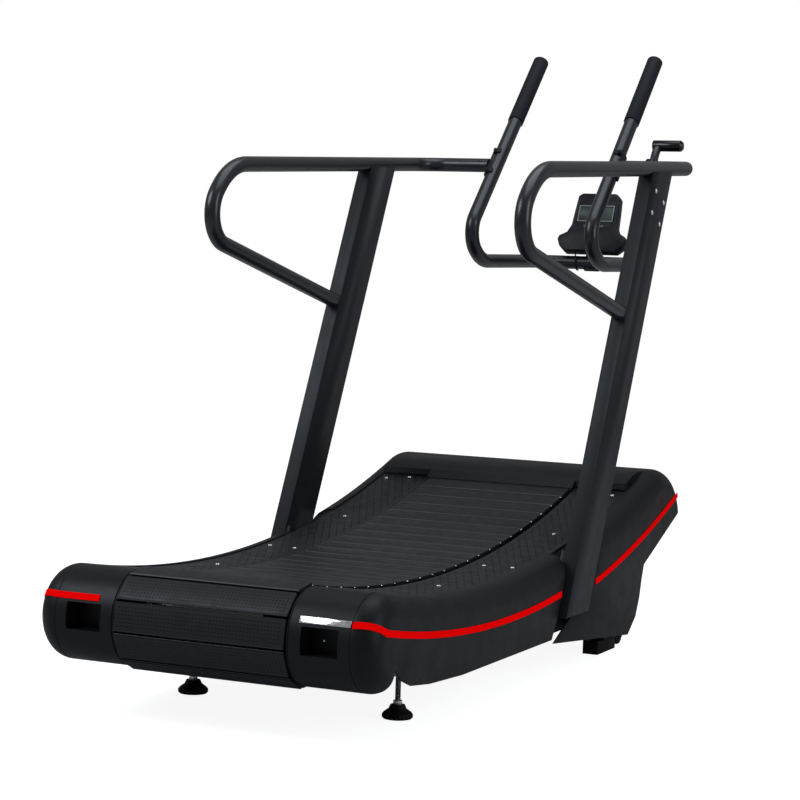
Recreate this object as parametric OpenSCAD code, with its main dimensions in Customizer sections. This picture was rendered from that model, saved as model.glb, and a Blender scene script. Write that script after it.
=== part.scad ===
// Curved manual treadmill. Units mm. +Y runs from the low rear end to the raised nose,
// +X to the right of a runner who faces the nose, +Z up. Floor at Z = 0, X = 0 on the
// mid-plane, Y = 0 at the middle of the overall length.

/* [Deck] */
// lowest point of the running surface, Y
deck_low_y = -460; // [-520:5:-380]
// height of the step rails at the lowest point
deck_low_z = 274; // [240:2:320]
// radius of the curved running surface
deck_r = 3300; // [2600:50:4200]
// belt surface above the step rails
belt_proud = 3; // [0:1:10]
// half width of the slat belt
belt_half = 200; // [180:5:240]
// inner edge of the step rails
rail_in = 208; // [190:1:250]
// outer edge of the step rails, where the side cover starts
rail_out = 345; // [300:1:370]
// outer face of the side covers
cover_out = 400; // [360:5:440]
// shoulder radius of the side covers
shoulder_r = 50; // [10:1:54]
// wall of the moulded covers
wall = 4; // [2:0.5:6]
// thickness of the step rails
rail_t = 12; // [6:1:20]
// depth of the tread below the covers beside it
rail_drop = 3; // [0:0.5:5]
// front end of the step rails
rail_front_y = 448; // [380:2:480]
// rear end of the step rails
rail_rear_y = -880; // [-960:5:-800]

/* [Slat belt] */
// number of slats
slat_n = 56; // [48:1:64]
// width of a slat along the belt
slat_w = 62; // [50:1:64]
// slat thickness
slat_t = 12; // [8:1:16]
// rear drum axis, Y
drum_rear_y = -1044; // [-1060:2:-980]
// radius of the slats' outer face round the rear drum
wrap_rear_r = 106; // [96:2:140]
// front drum axis, Y
drum_front_y = 500; // [440:5:540]
// radius of the slats' outer face round the front drum
wrap_front_r = 100; // [90:2:120]
// carrier belt thickness
carrier_t = 4; // [3:0.5:6]
// drum shaft radius
shaft_r = 12.5; // [10:0.5:16]

/* [Nose] */
// centre of the nose rounding, Y
nose_y = 615; // [560:5:680]
// radius of the nose rounding
nose_r = 160; // [120:5:190]
// underside corner where the lower shroud starts [Y, Z]
nose_knee = [464, 213]; // [0:1:500]
// underside point near the nose tip [Y, Z]
nose_chin = [738, 326]; // [0:1:800]
// lower shroud bottom rear corner [Y, Z]
shroud_heel = [-164, 97]; // [-200:1:120]
// lower shroud bottom front corner [Y, Z]
shroud_toe = [356, 45]; // [0:1:400]

/* [Uprights] */
// centre of each upright from the mid-plane
up_x = 395; // [370:1:420]
// upright width across the machine
up_w = 36; // [30:1:60]
// upright depth along the machine
up_d = 134; // [90:1:150]
// upright wall
up_wall = 3; // [2:0.5:4]
// forward lean from vertical
up_lean = 25.37; // [15:0.5:35]
// rear face of the upright at the handrail height, Y
up_top_y = 389; // [300:1:450]
// height of the upright's foot
up_foot_z = 152; // [120:1:180]

/* [Handrails] */
// tube outside diameter
tube_d = 38; // [32:1:42]
// tube wall
tube_wall = 2.5; // [1.5:0.5:4]
// height of the top bar at the upright
rail_z = 1228; // [1100:2:1300]
// upward slope of the top bar to the front
rail_pitch = 2.1; // [0:0.1:4]
// rearmost point of the loop axis, Y
loop_rear_y = -436; // [-520:2:-350]
// radius of the loop's first, wide bend
loop_r1 = 190; // [120:5:260]
// angle of the first bend
loop_a1 = 50; // [20:1:70]
// rise of the brace from the upright to the rear
brace_rise = 13.5; // [8:0.5:25]
// height of the brace where it meets the upright
brace_z = 868; // [780:2:950]
// radius of the front corner
corner_r = 75; // [50:5:110]

/* [Horns] */
// horn axis from the mid-plane
horn_x = 172; // [140:1:220]
// horn lean from vertical
horn_lean = 44.7; // [25:0.5:50]
// horn axis at the top bar height, Y
horn_y = 744; // [680:2:800]
// height of the horn ends
horn_top_z = 1546; // [1400:2:1620]
// height of the lower runs and crossbar
horn_low_z = 978; // [900:2:1040]
// rearmost point of the horn axis, Y
horn_rear_y = 600; // [540:2:640]
// radius of the horn's tight bend
horn_r1 = 60; // [50:2:90]
// angle past vertical where the horn's wide bend takes over
horn_a1 = 50; // [30:5:60]
// crossbar axis, Y
bar_y = 1075; // [980:5:1150]
// radius of the crossbar corners
bar_corner_r = 60; // [45:5:90]
// length of the soft grip on each horn
grip_len = 250; // [150:5:320]

/* [Console] */
// console centre height
console_z = 1096; // [1060:1:1140]
// console front-to-back tilt from vertical
console_tilt = 24; // [0:1:45]
// upper body width
console_w = 136; // [110:2:160]
// lower wing width
console_wing_w = 206; // [180:2:240]
// body height
console_h = 178; // [150:2:200]
// body depth
console_d = 34; // [24:1:50]

/* [Feet] */
// levelling foot from the mid-plane
foot_x = 255; // [200:1:300]
// levelling foot, Y
foot_y = -714; // [-800:2:-600]
// levelling foot pad radius
pad_r = 34; // [25:1:45]
// front foot block centre from the mid-plane
block_x = 331; // [300:1:360]
// front foot block centre, Y
block_y = 335; // [300:1:380]
// transport wheel radius
wheel_r = 26; // [20:1:40]
// transport wheel axis, Y
wheel_y = 452; // [400:2:500]

/* [Hidden] */
eps = 0.2;
gap = 0.3;
seam = 0.02;
fn_big = 720;
fn_tube = 64;
arc_y = deck_low_y;
arc_z = deck_low_z + deck_r;
belt_r = deck_r - belt_proud;
tube_r = tube_d / 2;
function on_arc(r, y) = arc_z - sqrt(r * r - (y - arc_y) * (y - arc_y));
drum_rear_z = on_arc(belt_r + wrap_rear_r, drum_rear_y);
drum_front_z = on_arc(belt_r + wrap_front_r, drum_front_y);
cap_r = belt_r + wrap_rear_r - deck_r;
cover_bottom_z = drum_rear_z - cap_r;
tan_rear = asin((arc_y - drum_rear_y) / (belt_r + wrap_rear_r));
tan_front = asin((drum_front_y - arc_y) / (belt_r + wrap_front_r));
nose_z = on_arc(deck_r + nose_r, nose_y);
tan_nose = asin((nose_y - arc_y) / (deck_r + nose_r));
span_y = drum_front_y - drum_rear_y;
span_z = drum_front_z - drum_rear_z;
span = sqrt(span_y * span_y + span_z * span_z);
under_a = atan2(span_z, span_y) + asin((wrap_rear_r - wrap_front_r) / span);
len_top = belt_r * (tan_rear + tan_front) * PI / 180;
wrap_front_a = 180 + tan_front - under_a;
wrap_rear_a = 180 + tan_rear + under_a;
len_front = wrap_front_r * wrap_front_a * PI / 180;
len_under = sqrt(span * span - pow(wrap_rear_r - wrap_front_r, 2));
len_rear = wrap_rear_r * wrap_rear_a * PI / 180;
len_belt = len_top + len_front + len_under + len_rear;
slat_pitch = len_belt / slat_n;
up_run = up_d / cos(up_lean);
function up_rear(z) = up_top_y - (rail_z - z) * tan(up_lean);
function bar_z(y) = rail_z + (y - up_top_y) * tan(rail_pitch);
cross_k = tan(rail_pitch) * tan(horn_lean);
cross_y = (horn_y - up_top_y * cross_k) / (1 - cross_k);
horn_end_y = horn_y + (horn_top_z - rail_z) * tan(horn_lean);
plate_in = 222;
plate_t = 8;
carrier_in = 140;
carrier_w = 40;
stripe_in = 73;
stripe_h = 14.5;
stripe_t = 1.5;
slot_back = 26;
slot_front = 35;
bolt_r = 6;

// ---- helpers ----

// draws children on the right side, or mirrored on the left
module mirror_x(side) {
  if (side > 0) children();
  else mirror([1, 0, 0]) children();
}

// revolves a section about an X-parallel axis at [y, z]. The section is drawn as
// [radius, x]; a0 is measured from straight down and grows towards +Y.
module sweep_x(y, z, a0, a1, fn = fn_big) {
  translate([0, y, z])
    rotate([a0, 0, 0])
      rotate([0, 90, 0])
        rotate_extrude(angle = a1 - a0, $fn = fn)
          children();
}

// section of the moulded side cover as [radius offset outward, x]
module shell_section(r, down) {
  difference() {
    union() {
      translate([r, rail_out]) square([shoulder_r + eps, cover_out - shoulder_r - rail_out]);
      translate([r + shoulder_r, cover_out - shoulder_r]) circle(r = shoulder_r, $fn = fn_tube);
      translate([r + shoulder_r, rail_out]) square([down - shoulder_r, cover_out - rail_out]);
    }
    translate([r + wall, rail_out - 1]) square([shoulder_r, cover_out - shoulder_r - rail_out + 1]);
    translate([r + shoulder_r, cover_out - shoulder_r]) circle(r = shoulder_r - wall, $fn = fn_tube);
    translate([r + shoulder_r, rail_out - 1]) square([down, cover_out - rail_out - wall + 1]);
    translate([r - 1, 0]) square([down, rail_out]);
  }
}

// same section for the rear and nose roundings, centre at radius 0
module hood_section(r) {
  difference() {
    union() {
      translate([r - shoulder_r, rail_out]) square([shoulder_r, cover_out - shoulder_r - rail_out]);
      translate([r - shoulder_r, cover_out - shoulder_r]) circle(r = shoulder_r, $fn = fn_tube);
      translate([0, rail_out]) square([r - shoulder_r, cover_out - rail_out]);
    }
    translate([-1, rail_out - 1]) square([r - shoulder_r + 1, cover_out - rail_out - wall + 1]);
    translate([r - shoulder_r, cover_out - shoulder_r]) circle(r = shoulder_r - wall, $fn = fn_tube);
    translate([r - shoulder_r - 1, rail_out - 1])
      square([shoulder_r - wall + 1, cover_out - shoulder_r - rail_out + 1]);
    translate([-2 * shoulder_r, 0]) square([2 * shoulder_r, cover_out + shoulder_r]);
    square([r + 1, rail_out]);
  }
}

// round bar between two points
module rod(p, q, r, fn = fn_tube) {
  d = q - p;
  translate(p)
    rotate([0, acos(d[2] / norm(d)), atan2(d[1], d[0])])
      cylinder(h = norm(d), r = r, $fn = fn);
}

// wall section of the round tube
module ring() {
  difference() {
    circle(r = tube_r, $fn = fn_tube);
    circle(r = tube_r - tube_wall, $fn = fn_tube);
  }
}

// straight length of tube between two bends
module pipe(h) {
  translate([0, 0, seam]) linear_extrude(height = h - 2 * seam) ring();
}

// cylinder along X
module x_cyl(x0, x1, y, z, r, fn = fn_tube) {
  translate([x0, y, z]) rotate([0, 90, 0]) cylinder(h = x1 - x0, r = r, $fn = fn);
}

// prism along X of an outline in [y, z]
module x_prism(x0, x1, pts) {
  translate([x0, 0, 0]) rotate([90, 0, 90]) linear_extrude(height = x1 - x0) polygon(pts);
}

// box on the leaning upright: u across the depth from the rear face, v up the lean from the foot
module on_upright(z0 = up_foot_z) {
  translate([up_x, up_rear(z0), z0]) rotate([-up_lean, 0, 0]) children();
}

// ---- frame and uprights ----

cross_tubes = [[-714, 190], [-360, 212], [-10, 238], [335, 290]];

module base_frame() {
  color("#1b1c1f") difference() {
    union() {
      for (side = [1, -1]) mirror_x(side) {
        sweep_x(arc_y, arc_z, -tan_rear - 0.7, tan_front + 0.7)
          translate([deck_r + rail_t + gap, plate_in]) square([138, plate_t]);
        // front leg down to the foot block
        translate([block_x - 20, block_y - 20, 34 + gap]) cube([40, 40, 250]);
        // bracket for the levelling foot
        translate([foot_x - 22, foot_y - 22, 104]) cube([44, 44, 80]);
        // lug that carries the transport wheel fork
        translate([block_x - 20, block_y, 62]) cube([40, wheel_y - block_y + 10, 30]);
      }
      for (c = cross_tubes) {
        half = c[0] > 0 ? block_x : (c[0] < -500 ? foot_x + 22 : up_x - up_w / 2 - 11);
        x_cyl(-half, half, c[0], c[1], 20);
      }
    }
    x_cyl(-300, 300, drum_rear_y, drum_rear_z, shaft_r + 3);
    x_cyl(-300, 300, drum_front_y, drum_front_z, shaft_r + 3);
    for (side = [1, -1]) mirror_x(side)
      translate([foot_x, foot_y, 90]) cylinder(h = 78, r = 6.5, $fn = 48);
  }
}

module upright_mount(side) {
  low_z = 112;
  mirror_x(side) difference() {
    on_upright() {
      translate([-up_w / 2 - 11 + gap, 4, 20]) cube([11 - 2 * gap, up_d - 8, 150]);
      // skirt that closes the slot below the upright
      translate([-up_w / 2 - 11 + gap, -45, -45]) cube([11 - 2 * gap, 220, 105]);
      for (u = [30, up_d - 30])
        for (v = [45, 145])
          translate([-up_w / 2 - 11, u, v]) rotate([0, -90, 0]) cylinder(h = 8, r = 9, $fn = 6);
    }
    // nothing hangs below the covers
    translate([0, -1000, -200]) cube([2 * up_x, 2000, 200 + low_z]);
  }
}
module upright_mount_left() { color("#141416") upright_mount(-1); }
module upright_mount_right() { color("#141416") upright_mount(1); }

module upright(side) {
  len_up = (rail_z - up_foot_z) / cos(up_lean) + up_d;
  mirror_x(side) difference() {
    on_upright() translate([-up_w / 2, 0, -up_d]) difference() {
      cube([up_w, up_d, len_up + up_d]);
      translate([up_wall, up_wall, -1]) cube([up_w - 2 * up_wall, up_d - 2 * up_wall, len_up + up_d + 2]);
    }
    // foot cut level
    translate([up_x - up_w, -400, up_foot_z - 300]) cube([2 * up_w, 800, 300]);
    // top coped to the handrail tube
    translate([up_x, up_top_y, rail_z]) rotate([90 + rail_pitch, 0, 0])
      translate([0, 0, -600]) cylinder(h = 1200, r = tube_r + gap, $fn = fn_tube);
    translate([up_x, up_top_y, rail_z]) rotate([rail_pitch, 0, 0])
      translate([-up_w, -600, 0]) cube([2 * up_w, 1200, 400]);
  }
}
module upright_left() { color("#2b2c31") upright(-1); }
module upright_right() { color("#2b2c31") upright(1); }

// bolts through the head of each upright
module upright_bolts() {
  color("#b9bcc2")
  for (side = [1, -1]) mirror_x(side)
    on_upright(rail_z - 36) for (u = [44, up_d - 23]) for (v = [0, 61])
      translate([up_w / 2 + eps, u, -v]) rotate([0, 90, 0]) {
        cylinder(h = 2, r = bolt_r, $fn = 32);
        translate([0, 0, 2]) cylinder(h = 2.4, r1 = bolt_r * 0.8, r2 = bolt_r * 0.45, $fn = 32);
      }
}

// ---- handrails ----

// the rail is drawn in a frame on the top bar's axis at the upright, pitched with the bar
brace_b = brace_rise + rail_pitch;
brace_n = [-sin(brace_b), -cos(brace_b)];
brace_d = [up_rear(brace_z) - up_top_y, brace_z - rail_z];
brace_p = [brace_d[0] * cos(rail_pitch) + brace_d[1] * sin(rail_pitch),
           brace_d[1] * cos(rail_pitch) - brace_d[0] * sin(rail_pitch)];
loop_am = 180 + loop_a1;
function loop_c2(r2) = [loop_rear_y - up_top_y + r2, -loop_r1 - (loop_r1 - r2) * cos(loop_am)];
function loop_g(r2) = (loop_c2(r2) - brace_p) * brace_n + r2;
loop_r2 = -loop_g(0) / (loop_g(1) - loop_g(0));
c2 = loop_c2(loop_r2);
c1 = [c2[0] - (loop_r1 - loop_r2) * sin(loop_am), -loop_r1];
brace_s = c2 + loop_r2 * brace_n;
brace_len = (brace_p - brace_s) * [cos(brace_b), -sin(brace_b)] + 60;
cross_z = bar_z(cross_y);
cross_u = (cross_y - up_top_y) / cos(rail_pitch);
clamp_x = horn_x + tube_r + 4;

module on_bar() {
  translate([up_x, up_top_y, rail_z]) rotate([rail_pitch, 0, 0]) children();
}
module handrail(side) {
  mirror_x(side) {
    on_bar() {
      translate([0, c1[0], 0]) rotate([-90, 0, 0]) pipe(cross_u - corner_r - c1[0]);
      sweep_x(c1[0], c1[1], 180, loop_am, 360) translate([loop_r1, 0]) ring();
      sweep_x(c2[0], c2[1], loop_am + 0.02, 360 - brace_b, 180) translate([loop_r2, 0]) ring();
      translate([-corner_r, cross_u - corner_r, 0])
        rotate_extrude(angle = 90, $fn = 180) translate([corner_r, 0]) ring();
      translate([-corner_r, cross_u, 0]) rotate([0, -90, 0]) pipe(up_x - corner_r - clamp_x);
    }
    difference() {
      on_bar() translate([0, brace_s[0], brace_s[1]]) rotate([-90 - brace_b, 0, 0]) pipe(brace_len);
      // brace end cut flush with the upright
      on_upright() translate([-up_w, -gap, -200]) cube([2 * up_w, 2 * up_d, 1050]);
    }
  }
}
module handrail_left() { color("#24252a") handrail(-1); }
module handrail_right() { color("#24252a") handrail(1); }

// ---- horns ----

horn_c1 = [horn_rear_y + horn_r1,
           rail_z + (horn_rear_y + horn_r1 - horn_r1 / cos(horn_lean) - horn_y) / tan(horn_lean)];
horn_r2 = (horn_c1[1] - horn_low_z - horn_r1 * sin(horn_a1)) / (1 - sin(horn_a1));
horn_am = 270 + horn_a1;
horn_c2 = horn_c1 + (horn_r1 - horn_r2) * [sin(horn_am), -cos(horn_am)];
horn_s = horn_c1 + horn_r1 * [-cos(horn_lean), sin(horn_lean)];

module horn_bar() {
  color("#24252a") {
    for (side = [1, -1]) mirror_x(side) {
      translate([horn_x, horn_s[0], horn_s[1]]) rotate([-horn_lean, 0, 0])
        pipe((horn_top_z - horn_s[1]) / cos(horn_lean));
      sweep_x(horn_c1[0], horn_c1[1], 270 - horn_lean, horn_am, 180)
        translate([horn_r1, horn_x]) ring();
      sweep_x(horn_c2[0], horn_c2[1], horn_am + 0.02, 360, 360) translate([horn_r2, horn_x]) ring();
      translate([horn_x, horn_c2[0], horn_low_z]) rotate([-90, 0, 0])
        pipe(bar_y - bar_corner_r - horn_c2[0]);
      translate([horn_x - bar_corner_r, bar_y - bar_corner_r, horn_low_z])
        rotate_extrude(angle = 90, $fn = 180) translate([bar_corner_r, 0]) ring();
    }
    translate([bar_corner_r - horn_x, bar_y, horn_low_z]) rotate([0, 90, 0])
      pipe(2 * (horn_x - bar_corner_r));
  }
}

module horn_grip(side) {
  mirror_x(side) translate([horn_x, horn_end_y, horn_top_z]) rotate([-horn_lean, 0, 0]) difference() {
    union() {
      translate([0, 0, -grip_len]) cylinder(h = grip_len + 2, r = tube_r + 3, $fn = fn_tube);
      translate([0, 0, 2]) cylinder(h = 3, r1 = tube_r + 3, r2 = tube_r, $fn = fn_tube);
    }
    translate([0, 0, -grip_len - 1]) cylinder(h = grip_len + 1 + gap, r = tube_r + 0.05, $fn = fn_tube);
  }
}
module horn_grip_left() { color("#121214") horn_grip(-1); }
module horn_grip_right() { color("#121214") horn_grip(1); }

// saddle plate between the handrail's cross run and the horn, with two bolts
module horn_clamp(side) {
  mirror_x(side) translate([horn_x, cross_y, cross_z]) rotate([-horn_lean, 0, 0]) {
    difference() {
      union() {
        translate([tube_r - 8, -9, -46]) cube([11.5, 18, 92]);
        translate([-6, -tube_r - 4, -46]) cube([tube_r + 2, 14, 14]);
        translate([-6, -tube_r - 4, 32]) cube([tube_r + 2, 14, 14]);
      }
      translate([0, 0, -60]) cylinder(h = 120, r = tube_r + 0.05, $fn = fn_tube);
    }
    for (v = [-39, 39])
      translate([tube_r - 9, -tube_r - 4, v]) rotate([90, 0, 0]) cylinder(h = 4, r = 5, $fn = 6);
  }
}
module horn_clamp_left() { color("#1b1c1f") horn_clamp(-1); }
module horn_clamp_right() { color("#1b1c1f") horn_clamp(1); }

// ---- covers ----

// outline in [y, z] of everything behind the slot, or ahead of it
function slot_rear(z) = up_rear(z) - slot_back;
function slot_fore(z) = up_rear(z) + up_run + slot_front;

module side_cover(side) {
  mirror_x(side) {
    intersection() {
      sweep_x(arc_y, arc_z, -tan_rear, 9) shell_section(deck_r, 260);
      x_prism(0, 500, [[-1300, 500], [-1300, drum_rear_z], [drum_rear_y, drum_rear_z],
                       [drum_rear_y, cover_bottom_z + shoulder_r + 2], [drum_rear_y + 30, 145],
                       [drum_rear_y + 80, 126], [-870, 115], [-700, 107],
                       [slot_rear(107) - 8, 107], [slot_rear(150), 150], [slot_rear(500), 500]]);
    }
    sweep_x(drum_rear_y, drum_rear_z, 180 - tan_rear, 360, 180) hood_section(cap_r);
  }
}
module side_cover_left() { color("#1c1d20") side_cover(-1); }
module side_cover_right() { color("#1c1d20") side_cover(1); }

module front_cover(side) {
  mirror_x(side) intersection() {
    union() {
      sweep_x(arc_y, arc_z, 3, tan_nose) shell_section(deck_r, 420);
      sweep_x(nose_y, nose_z, tan_nose, 180 + tan_nose, 180) hood_section(nose_r);
    }
    x_prism(0, 500, [shroud_heel, shroud_toe, [411, 84], [436, 130], [450, 178], nose_knee, nose_chin,
                     [764, 352], [860, 360], [860, 600], [slot_fore(600), 600], [slot_fore(150), 150],
                     [-47, 150]]);
  }
}
module front_cover_left() { color("#1c1d20") front_cover(-1); }
module front_cover_right() { color("#1c1d20") front_cover(1); }

// hood between the side covers over the front drum
function nose_arc(r, a0, a1, n) =
  [for (i = [0:n]) let (a = a0 + (a1 - a0) * i / n) [nose_y + r * sin(a), nose_z - r * cos(a)]];
module nose_cover() {
  tip_a = 115;
  top = nose_arc(nose_r, 190, tip_a, 24);
  under = nose_arc(nose_r - wall, tip_a, 190, 24);
  color("#1c1d20")
    x_prism(-rail_out + gap, rail_out - gap,
            concat([[rail_front_y + 4, 419], [500, 436], [545, 443]], top, under,
                   [[545, 443 - wall], [500, 436 - wall], [rail_front_y + 4, 419 - wall]]));
  // flanks that come down to the step rails
  color("#1c1d20") for (side = [1, -1]) mirror_x(side)
    x_prism(rail_in, rail_out - gap,
            [[rail_front_y + 2, on_arc(deck_r, rail_front_y + 2)], [500, 436], [500, 436 - wall],
             [rail_front_y + 4, on_arc(deck_r, rail_front_y + 4) - wall]]);
}
// tray under the front drum
module belly_pan() {
  pts = [[756, 344], [600, 196], [nose_knee[0] - 20, 133]];
  color("#151618")
    x_prism(-plate_in + 6, plate_in - 6,
            [pts[0], pts[1], pts[2], pts[2] + [0, wall], pts[1] + [-2, wall], pts[0] + [-5, wall]]);
}

// outline of the cap at a depth below its skin, from the step rail round to the underside
cap_n = 60;
cap_a0 = -180 - tan_rear;
function cap_top(d) =
  [for (y = [rail_rear_y - 1:-10:drum_rear_y + 30]) [y, on_arc(deck_r + d, y)]];
function cap_turn(d) =
  [for (i = [0:cap_n]) let (a = cap_a0 + (180 + tan_rear) * i / cap_n)
    [drum_rear_y + (cap_r - d) * sin(a), drum_rear_z - (cap_r - d) * cos(a)]];
function cap_side(d) = concat(cap_top(d), cap_turn(d));
function cap_line(d, way) =
  let (p = cap_side(d)) [for (i = [0:len(p) - 1]) way > 0 ? p[i] : p[len(p) - 1 - i]];

// cap over the rear drum's end, with a hand pocket
module rear_cap(side) {
  pz = [200, 258];
  px = [235, 319];
  mirror_x(side) difference() {
    union() {
      x_prism(rail_in, rail_out - gap, concat(cap_line(0, 1), cap_line(wall, -1)));
      translate([px[0] - wall, drum_rear_y - cap_r + 4, pz[0] - wall])
        cube([px[1] - px[0] + 2 * wall, 56, pz[1] - pz[0] + 2 * wall]);
    }
    translate([px[0], drum_rear_y - cap_r - 10, pz[0]]) cube([px[1] - px[0], 66, pz[1] - pz[0]]);
    x_prism(px[0] - 2 * wall, px[1] + 2 * wall,
            concat(cap_line(0, 1), [[drum_rear_y, -50], [-1300, -50], [-1300, 500], [rail_rear_y, 500]]));
  }
}
module rear_cap_left() { color("#17181a") rear_cap(-1); }
module rear_cap_right() { color("#17181a") rear_cap(1); }

// strip above the hand pocket, on the cap's rear face
module cap_trim(side) {
  mirror_x(side)
    sweep_x(drum_rear_y, drum_rear_z, 270 - 32.5, 270 - 24.5, 180)
      translate([cap_r + eps, rail_in + 20]) square([stripe_t, rail_out - 2 - rail_in - 20]);
}
module cap_trim_left() { color("#e00000") cap_trim(-1); }
module cap_trim_right() { color("#d8dade") cap_trim(1); }

function arc_a(r, y) = asin((y - arc_y) / r);
module stripe(side) {
  rr = deck_r + stripe_in;
  rf = deck_r + 102;
  mirror_x(side) {
    sweep_x(arc_y, arc_z, arc_a(rr, -1086), arc_a(rr, slot_rear(205) - 2))
      translate([rr, cover_out + eps]) square([stripe_h, stripe_t]);
    sweep_x(arc_y, arc_z, arc_a(rf, slot_fore(220) + 2), arc_a(rf, 700))
      translate([rf, cover_out + eps]) square([stripe_h, stripe_t]);
  }
}
module stripe_left() { color("#e00000") stripe(-1); }
module stripe_right() { color("#e00000") stripe(1); }

module step_rail(side) {
  mirror_x(side) {
    sweep_x(arc_y, arc_z, arc_a(deck_r, rail_rear_y), arc_a(deck_r, rail_front_y))
      translate([deck_r + rail_drop, rail_in]) square([rail_t - rail_drop, rail_out - gap - rail_in]);
  }
}
module step_rail_left() { color("#202125") step_rail(-1); }
module step_rail_right() { color("#202125") step_rail(1); }

rail_screw_at = [[280, -570], [250, -245], [320, -240], [288, 103], [322, 418], [262, 436]];
module rail_screw(x, y) {
  translate([x, arc_y, arc_z]) rotate([arc_a(deck_r, y), 0, 0]) translate([0, 0, eps - deck_r - rail_drop]) {
    cylinder(h = 1.4, r = 5.5, $fn = 32);
    translate([0, 0, 1.4]) cylinder(h = 1.2, r1 = 4.6, r2 = 2.6, $fn = 32);
  }
}
module rail_screws() {
  color("#c9ccd1") for (side = [1, -1]) mirror_x(side) {
    for (p = rail_screw_at) rail_screw(p[0], p[1]);
  }
}

// ---- belt and drums ----

function belt_at(s) =
  s < len_top ? let (a = -tan_rear + s / belt_r * 180 / PI)
    [arc_y + belt_r * sin(a), arc_z - belt_r * cos(a), a] :
  s < len_top + len_front ? let (a = tan_front - (s - len_top) / wrap_front_r * 180 / PI)
    [drum_front_y - wrap_front_r * sin(a), drum_front_z + wrap_front_r * cos(a), a] :
  s < len_top + len_front + len_under ? let (d = s - len_top - len_front, a = under_a - 180)
    [drum_front_y + wrap_front_r * sin(under_a) + d * cos(a),
     drum_front_z - wrap_front_r * cos(under_a) + d * sin(a), a] :
  let (a = under_a - 180 - (s - len_top - len_front - len_under) / wrap_rear_r * 180 / PI)
    [drum_rear_y - wrap_rear_r * sin(a), drum_rear_z + wrap_rear_r * cos(a), a];

module slats() {
  color("#26272b")
  for (i = [0:slat_n - 1]) {
    p = belt_at((i + 0.5) * slat_pitch);
    translate([-belt_half, p[0], p[1]]) rotate([p[2], 0, 0]) rotate([90, 0, 90])
      linear_extrude(height = 2 * belt_half)
        polygon([[-slat_w / 2, -3], [-slat_w / 2 + 3, 0], [slat_w / 2 - 3, 0], [slat_w / 2, -3],
                 [slat_w / 2 - 6, -slat_t], [-slat_w / 2 + 6, -slat_t]]);
  }
}

module carrier_belts() {
  off = slat_t + gap;
  cut = 0.02;
  color("#0e0e10") for (side = [1, -1]) mirror_x(side) {
    sweep_x(arc_y, arc_z, -tan_rear, tan_front)
      translate([belt_r + off, carrier_in]) square([carrier_t, carrier_w]);
    sweep_x(drum_front_y, drum_front_z, under_a + cut, 180 + tan_front - cut, 180)
      translate([wrap_front_r - off - carrier_t, carrier_in]) square([carrier_t, carrier_w]);
    sweep_x(drum_rear_y, drum_rear_z, 180 - tan_rear + cut, 360 + under_a - cut, 180)
      translate([wrap_rear_r - off - carrier_t, carrier_in]) square([carrier_t, carrier_w]);
    translate([carrier_in, drum_rear_y + (wrap_rear_r - off) * sin(under_a),
               drum_rear_z - (wrap_rear_r - off) * cos(under_a)])
      rotate([under_a, 0, 0]) cube([carrier_w, len_under, carrier_t]);
  }
}

module glide_tracks() {
  off = belt_r + slat_t + carrier_t + 3 * gap;
  color("#d9d9d4") for (side = [1, -1]) mirror_x(side)
    sweep_x(arc_y, arc_z, -tan_rear + 1.3, tan_front - 1.3) {
      translate([off, carrier_in]) square([9, carrier_w]);
      translate([off + 9 - eps, carrier_in]) square([5, plate_in - carrier_in - gap]);
    }
}

module drum(y, z, r, x0, x1) {
  x_cyl(x0, x1, y, z, shaft_r);
  for (side = [1, -1]) mirror_x(side) {
    x_cyl(carrier_in - 4, carrier_in + carrier_w + 4, y, z, r, 96);
    x_cyl(carrier_in + carrier_w + 4 - eps, plate_in - 6, y, z, 24);
  }
  difference() {
    x_cyl(-carrier_in + 3, carrier_in - 3, y, z, 40);
    x_cyl(-carrier_in + 8, carrier_in - 8, y, z, 36);
  }
}
module drum_front() {
  color("#8a8d92") drum(drum_front_y, drum_front_z, wrap_front_r - slat_t - carrier_t - 3 * gap, -258, 312);
}
module drum_rear() {
  color("#8a8d92") drum(drum_rear_y, drum_rear_z, wrap_rear_r - slat_t - carrier_t - 3 * gap, -258, 258);
}

// resistance disc on the right end of the front shaft
module flywheel() {
  color("#9b7b4a") difference() {
    union() {
      x_cyl(276, 284, drum_front_y, drum_front_z, 78, 128);
      x_cyl(268, 300, drum_front_y, drum_front_z, 26);
    }
    x_cyl(260, 320, drum_front_y, drum_front_z, shaft_r + eps / 4);
    for (i = [0:5]) rotate_about(drum_front_y, drum_front_z, i * 60)
      x_cyl(260, 320, drum_front_y + 48, drum_front_z, 11);
  }
}
module rotate_about(y, z, a) {
  translate([0, y, z]) rotate([a, 0, 0]) translate([0, -y, -z]) children();
}

module bearing_blocks() {
  color("#3a3b40") for (side = [1, -1]) mirror_x(side)
    for (d = [[drum_front_y, drum_front_z], [drum_rear_y, drum_rear_z]])
      difference() {
        union() {
          translate([plate_in + plate_t + gap, d[0] - 38, d[1] - 30]) cube([8, 76, 60]);
          x_cyl(plate_in + plate_t + gap, plate_in + plate_t + 26, d[0], d[1], 27);
        }
        x_cyl(plate_in, plate_in + 60, d[0], d[1], shaft_r + 0.05);
        for (s = [-1, 1]) x_cyl(plate_in, plate_in + 60, d[0] + s * 31, d[1], 4, 32);
      }
}

// ---- resistance unit ----

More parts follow.
